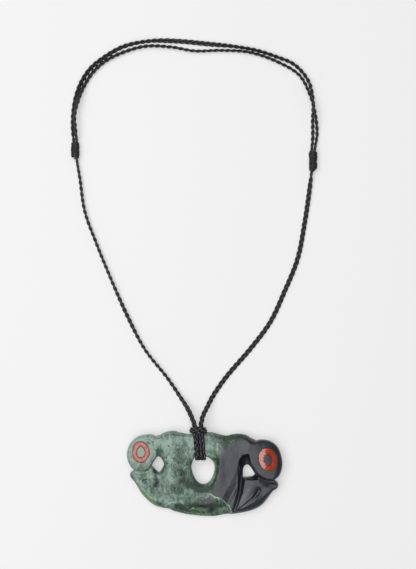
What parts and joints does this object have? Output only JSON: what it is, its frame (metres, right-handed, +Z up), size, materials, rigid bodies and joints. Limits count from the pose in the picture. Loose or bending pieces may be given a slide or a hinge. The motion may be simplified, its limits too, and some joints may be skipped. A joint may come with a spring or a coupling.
{
  "type": "greenstone bat pendant on an adjustable plaited cord",
  "caption": "Flat carved greenstone bat with a head at each end and red ringed eyes, hitched to a black plaited neck cord whose length sliding wraps adjust, lying face up.",
  "frame": {"origin": "on the surface that the pendant lies on, below the middle of the stone", "axes": "+X along the stone towards its darker head, +Y towards the neck end of the cord, +Z up out of the carved face"},
  "size_m": [0.1446, 0.2787, 0.013],
  "materials": {
    "stone": "satin polished nephrite, light grey-green at one end and near black at the other",
    "pink_wax": "pinkish red hard wax, worn",
    "red_wax": "orange-red hard wax, worn to pink at one side",
    "cord": "black waxed thread, plaited flat from three strands",
    "thread": "black waxed thread, wound"
  },
  "bodies": {
    "root": {"greenstone_body": "stone", "left_eye_inlay": "pink_wax", "right_eye_inlay": "red_wax", "cord_hitch": "cord", "left_cord": "cord", "right_cord": "cord", "left_sliding_wrap": "thread", "right_sliding_wrap": "thread"}
  },
  "joints": []
}
